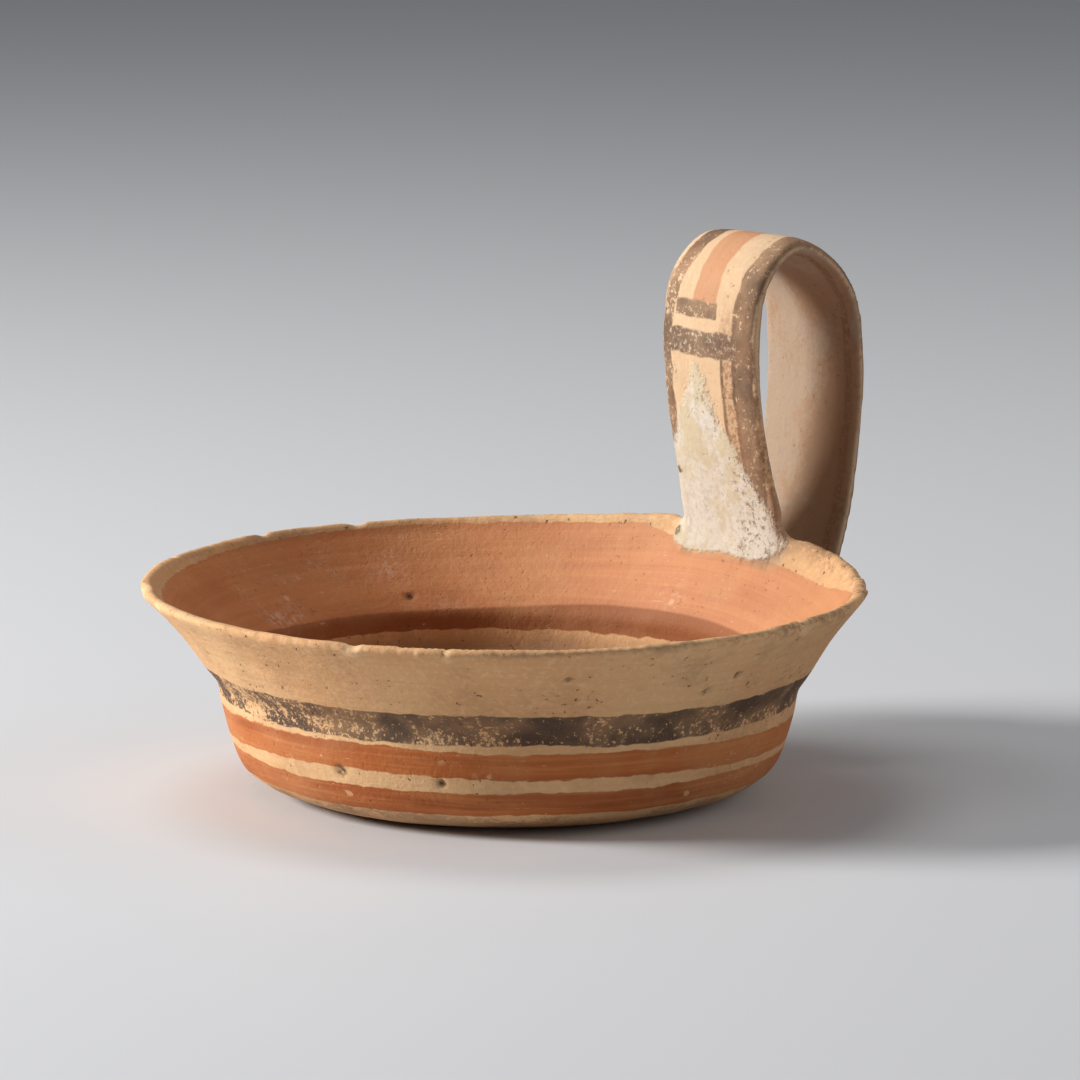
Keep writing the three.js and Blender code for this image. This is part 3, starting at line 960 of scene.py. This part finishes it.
# %% Tones of the red and the dark paint
# painted shade: a dark strip on the steep foot of the red wall, below the inner shoulder
shaded_foot_of_red = on.ramp(on.add(down, on.times(sway, 4.0)), -22.0, -21.2, 1.0, 0.0)
shaded_foot_of_red = on.times(shaded_foot_of_red, inner_red)
outer_tone = on.mix(on.ramp(broad_rings, 0.38, 0.62), OUTER_RED, OUTER_RED_DEEP)
inner_tone = on.mix(on.ramp(broad_rings, 0.36, 0.64), WALL_RED, WALL_RED_DEEP)
red_tone = on.mix(inside, outer_tone, inner_tone)
for share, tone in (
    (on.times(on.ramp(streaks, 0.44, 0.70), 0.4), RED_STREAK),
    (on.times(on.ramp(body["Clouds"], 0.40, 0.62), 0.35), RED_CLOUD),
    (on.times(red_quarters, 0.6), STAR_RED),
    # pale veil toward the handle: part film, part painted light on the side of the wall that the light falls
    # on
    (on.times(inner_red, on.ramp(toward_handle, -0.1, 0.9, 0.0, 0.25)), RED_VEIL_AND_PAINTED_LIGHT),
    (on.times(strap_red, 0.75), PANEL_RED),
    (on.times(on.times(strap_red, on.ramp(patches, 0.46, 0.62)), 0.35), PANEL_SCUFF),
    # painted shade at the foot of the red wall
    (on.times(shaded_foot_of_red, 0.78), WALL_FOOT_SHADE),
):
    red_tone = on.mix(share, red_tone, tone)
dark_tone = on.mix(on.ramp(dark_patches, 0.36, 0.64), DARK_PAINT, DARK_PAINT_THIN)
strap_dark_tone = on.mix(on.ramp(patches, 0.42, 0.60), STRAP_DARK, STRAP_DARK_THIN)
dark_tone = on.mix(on.times(strap_dark, 0.8), dark_tone, strap_dark_tone)

# %% [markdown]
# The red paint has held well and is only scuffed. The dark paint was thin and has flaked all over, in
# places down to a few specks, so it gets far more wear. The outside band is worst along its lower edge
# and on the side away from the handle.

# %% Paint laid over the clay, with its wear
red_all = on.most(on.most(outer_red, inner_red), on.most(red_quarters, strap_red))
dark_all = on.most(on.most(dark_band, dark_quarters), strap_dark)
low_on_band = on.times(on.ramp(down, 21.0, 26.5), dark_band)
thin_side = on.times(on.ramp(on.dot(turn, (-0.98, 0.17, 0.0)), 0.88, 0.98), dark_band)
dark_wear = on.add(on.add(0.42, on.times(low_on_band, 0.20)), on.times(thin_side, 0.25))
dark_wear = on.add(dark_wear, on.times(left_stripe, on.times(strap, 0.12)))
red_worn = on.group(WORN, Mask=red_all, Grains=grains, Patches=patches, Wear=0.24, Thinning=0.15)["Mask"]
dark_worn = on.group(WORN, Mask=dark_all, Grains=fine_grains, Patches=dark_patches, Wear=dark_wear,
                     Thinning=0.22)["Mask"]
bare = on.mix(on.times(thin_brown, on.ramp(grains, 0.40, 0.56, 0.85, 0.30)), bare, STRAP_BROWN)
coat = on.mix(on.times(red_worn, 0.94), bare, red_tone)
coat = on.mix(on.times(dark_worn, 0.93), coat, dark_tone)
print("paint with its wear:", len(clay.node_tree.nodes), "nodes")

# %% [markdown]
# The red wall has chalky clouds, pale flecks and a few scratches, and hardly any of them to the right of the
# handle. Where clay broke off, fresh clay shows, and the pits have filled with dirt.

# %% Chalky scuffs, flecks, scratches, chips and pits
chalk = on.times(on.ramp(scuff_noise, 0.52, 0.70), on.ramp(grains, 0.44, 0.62))
fleck_field = on.add(on.cells(here, 170.0), on.times(grains, 0.34))
fleck = on.times(on.ramp(fleck_field, 0.25, 0.31, 1.0, 0.0), on.ramp(scuff_noise, 0.50, 0.58))
scratch_place = on.vector(on.times(down, 2.6), on.times(toward_handle, 16.0), on.times(toward_left, 16.0))
scratch_noise = on.noise(scratch_place, 1.0, 1.0, 0.5)
scratch = on.times(on.ramp(scratch_noise, 0.70, 0.76), on.ramp(scuff_noise, 0.50, 0.60))
# chalk is kept off the painted shade at the foot of the red wall
far_side = on.less(on.ramp(toward_left, -0.55, 0.10), shaded_foot_of_red)
chalked = on.times(inner_red, far_side)
flecked = on.times(on.most(chalked, outer_red), 0.6)
coat = on.mix(on.times(on.times(chalk, chalked), 0.55), coat, CHALK)
coat = on.mix(on.times(on.most(fleck, scratch), flecked), coat, FLECK)
coat = on.mix(on.times(on.told("chipped"), 0.75), coat, BROKEN_CLAY)
coat = on.mix(on.times(on.told("pitted"), on.ramp(grains, 0.38, 0.52, 0.35, 0.95)), coat, PIT_DIRT)

# %% [markdown]
# Hands left dirt on the lip, most of all on the right, and along the strap's edges. A thin dark line low on
# the body, just above where the base meets the shelf, is painted shade. The dirt and that shade are patchy, so
# one field of patches and grains breaks them all up.

# %% Dirt worked into the rim and the strap's edges, and painted shade just above the base
dirt_and_shade_patches = on.ramp(on.add(on.times(dark_patches, 0.55), on.times(grains, 0.45)), 0.48, 0.58)
rim = on.times(on.ramp(on.math("ABSOLUTE", down), 1.0, 5.0, 1.0, 0.0), off_strap)
right_side = on.ramp(on.dot(turn, (0.55, -0.83, 0.0)), 0.55, 0.95)
rim_grime = on.times(on.times(rim, dirt_and_shade_patches), on.add(0.25, on.times(right_side, 0.5)))
# painted shade: a thin band low on the body, just above where the cup meets the shelf
foot_shade_line = on.times(on.ramp(on.math("ABSOLUTE", on.less(down, 42.5)), 1.0, 3.0, 1.0, 0.0), off_strap)
foot_shade = on.times(on.times(foot_shade_line, dirt_and_shade_patches), 0.6)
coat = on.mix(on.times(on.most(rim_grime, foot_shade), 0.8), coat, RIM_DIRT_AND_FOOT_SHADE)
strap_grime = on.times(on.times(on.ramp(on.math("ABSOLUTE", across), 8.5, 12.0), dirt_and_shade_patches), strap)
coat = on.mix(on.times(strap_grime, 0.6), coat, STRAP_DIRT)

# %% [markdown]
# The lime lies thickest at the handle's root and thins to a point up the face of the strap. Inside the
# loop there is only a thin greyish film, broken up into streaks, over a browner clay; both are painted darker,
# partly as painted shade inside the loop.

# %% Lime on the handle
LIME_REACH, LIME_MIDDLE, LIME_SLANT = 44.5, 3.0, 1.7
off_middle = on.math("ABSOLUTE", on.less(across, LIME_MIDDLE))
crust_field = on.less(on.less(LIME_REACH, on.times(off_middle, LIME_SLANT)), along)
crust_field = on.less(crust_field, on.times(on.most(on.less(12.0, along), 0.0), 3.0))
on_front = on.times(on.times(on.ramp(crust_field, -8.0, 8.0), facing), on.ramp(along, 60.0, 64.0, 1.0, 0.0))
crust_mask = on.least(on.add(on_front, on.times(on.times(root, off_strap), 0.5)), 1.0)
crust = on.group(LIME, Vector=here, Grains=grains, Mask=crust_mask)
speckle_field = on.ramp(on.add(dark_patches, on.times(across, -0.012)), 0.50, 0.62)
speckle = on.times(on.ramp(grains, 0.52, 0.64), speckle_field)
lime_colour = on.mix(on.times(speckle, 0.75), crust["Color"], LIME_SPECK)
lime_colour = on.mix(on.ramp(along, 2.0, 16.0, 0.45, 0.0), lime_colour, LIME_AT_ROOT)
limed_bar = on.times(on.times(lower_bar, facing), on.ramp(fine_grains, 0.50, 0.62))
coat = on.mix(on.times(limed_bar, 0.5), coat, LIME_ON_BAR)

# %% The film inside the loop
film_noise = on.add(on.times(dark_patches, 0.5), on.times(scuff_noise, 0.25))
film_noise = on.add(film_noise, on.times(grains, 0.25))
film = on.times(on.ramp(on.add(film_noise, on.times(across, 0.005)), 0.45, 0.55), within)
inner_stripe = on.times(strap_band(across, -11.4, -9.8, drift), within)
# the clay inside the loop is browner and darker, partly painted shade
coat = on.mix(on.times(within, 0.7), coat, LOOP_CLAY_AND_SHADE)
coat = on.mix(on.times(on.times(film, 0.6), on.less(1.0, inner_stripe)), coat, LOOP_FILM)
coat = on.mix(on.times(on.times(inner_stripe, on.ramp(grains, 0.40, 0.50)), 0.4), coat, LOOP_LINE)
coat = on.mix(on.times(crust["Mask"], 0.93), coat, lime_colour)

# %% [markdown]
# Old slip and matt paint scatter light, so the roughness stays high. Red paint was burnished a little, and
# lime is the dullest. The relief is the grain of the clay, the wheel marks and the thickness of the lime.

# %% Height and roughness, and the shader
BUMP_STRENGTH, BUMP_DEPTH = 0.85, 0.00032
relief = on.times(on.add(on.times(streaks, 0.4), broad_rings), 0.4)
relief = on.add(on.times(body["Height"], 0.6), relief)
relief = on.add(relief, on.times(on.less(0.5, grains), 0.35))
relief = on.add(relief, on.times(crust["Height"], 0.8))
bump = on.node("ShaderNodeBump")
bump.inputs["Strength"].default_value = BUMP_STRENGTH
bump.inputs["Distance"].default_value = BUMP_DEPTH
on.feed(bump.inputs["Height"], relief)
on.feed(shader.inputs["Normal"], bump.outputs[0])
roughness = on.add(0.76, on.times(body["Clouds"], 0.16))
roughness = on.less(roughness, on.times(red_worn, 0.10))
roughness = on.add(roughness, on.times(on.most(crust["Mask"], film), 0.10))
on.feed(shader.inputs["Roughness"], roughness)
on.feed(shader.inputs["Base Color"], coat)
skin.materials.append(clay)
print("painted clay:", len(clay.node_tree.nodes), "nodes")

# %% [markdown]
# The cup stands on a plain pale floor. One soft light from the left gives the modelling, a weaker one from
# the right opens the shadows, and one from above and behind lights the handle's top. Disks are used because
# a round light gives round, soft-edged shadows.

# %% Floor and light
CAMERA_AZIMUTH = math.radians(-40)
LOOK_AT = Vector((0.0075, 0.0, 0.0445))
FLOOR_HALF_SIZE = 6.0
FLOOR_GREY, FLOOR_ROUGHNESS = (0.64, 0.64, 0.65, 1), 0.6
SKY, SKY_STRENGTH = (0.9, 0.93, 1, 1), 0.15
# place to the right of the cup, beyond it and above it in metres, then size in metres and power in watts
LIGHTS = {
    "key": ((-1.13, -0.08, 0.54), 0.4, 23.0),
    "fill": ((1.0, 0.0, 0.45), 0.9, 3.0),
    "above": ((-0.25, 0.35, 1.1), 0.6, 3.6),
}

corners = [(x * FLOOR_HALF_SIZE, y * FLOOR_HALF_SIZE, 0) for x, y in ((-1, -1), (1, -1), (1, 1), (-1, 1))]
floor_mesh = bpy.data.meshes.new("floor")
floor_mesh.from_pydata(corners, [], [(0, 1, 2, 3)])
floor = bpy.data.objects.new("floor", floor_mesh)
bpy.context.scene.collection.objects.link(floor)
pale = bpy.data.materials.new("pale_floor")
pale.use_nodes = True
pale.node_tree.nodes["Principled BSDF"].inputs["Base Color"].default_value = FLOOR_GREY
pale.node_tree.nodes["Principled BSDF"].inputs["Roughness"].default_value = FLOOR_ROUGHNESS
floor_mesh.materials.append(pale)


def soft_light(name, place, aim, size, power):
    light = bpy.data.lights.new(name, "AREA")
    light.shape = "DISK"
    light.size = size
    light.energy = power
    lamp = bpy.data.objects.new(name, light)
    lamp.location = place
    lamp.rotation_mode = "QUATERNION"
    lamp.rotation_quaternion = (Vector(aim) - Vector(place)).to_track_quat("-Z", "Y")
    bpy.context.scene.collection.objects.link(lamp)


right = Vector((math.cos(CAMERA_AZIMUTH), math.sin(CAMERA_AZIMUTH), 0))
ahead = Vector((-math.sin(CAMERA_AZIMUTH), math.cos(CAMERA_AZIMUTH), 0))
up = Vector((0, 0, 1))
for name, ((to_right, beyond, above), size, power) in LIGHTS.items():
    soft_light(name, to_right * right + beyond * ahead + above * up, LOOK_AT, size, power)
world = bpy.data.worlds.new("studio")
world.use_nodes = True
world.node_tree.nodes["Background"].inputs["Color"].default_value = SKY
world.node_tree.nodes["Background"].inputs["Strength"].default_value = SKY_STRENGTH
bpy.context.scene.world = world
print("lights:", {name: power for name, (_, _, power) in LIGHTS.items()})

# %% [markdown]
# The camera looks from a little above the lip, as the photograph of the standing cup does. Its lens is set
# from what it has to take in: so many metres across at the cup's distance. The display is plain, so that a
# colour shows as it was mixed and isn't softened by a film look.

# %% Camera and display
CAMERA_ELEVATION = math.radians(9.6)
CAMERA_DISTANCE = 1.2
SENSOR_WIDTH = 36
WIDTH_IN_VIEW = 0.196

back = -ahead * math.cos(CAMERA_ELEVATION) + up * math.sin(CAMERA_ELEVATION)
camera_data = bpy.data.cameras.new("camera")
camera_data.sensor_width = SENSOR_WIDTH
camera_data.lens = SENSOR_WIDTH * CAMERA_DISTANCE / WIDTH_IN_VIEW
camera = bpy.data.objects.new("camera", camera_data)
camera.location = LOOK_AT + back * CAMERA_DISTANCE
camera.rotation_mode = "QUATERNION"
camera.rotation_quaternion = (-back).to_track_quat("-Z", "Y")
bpy.context.scene.collection.objects.link(camera)
bpy.context.scene.camera = camera
bpy.context.scene.view_settings.view_transform = "Standard"
print(f"lens: {camera_data.lens:.0f} mm")
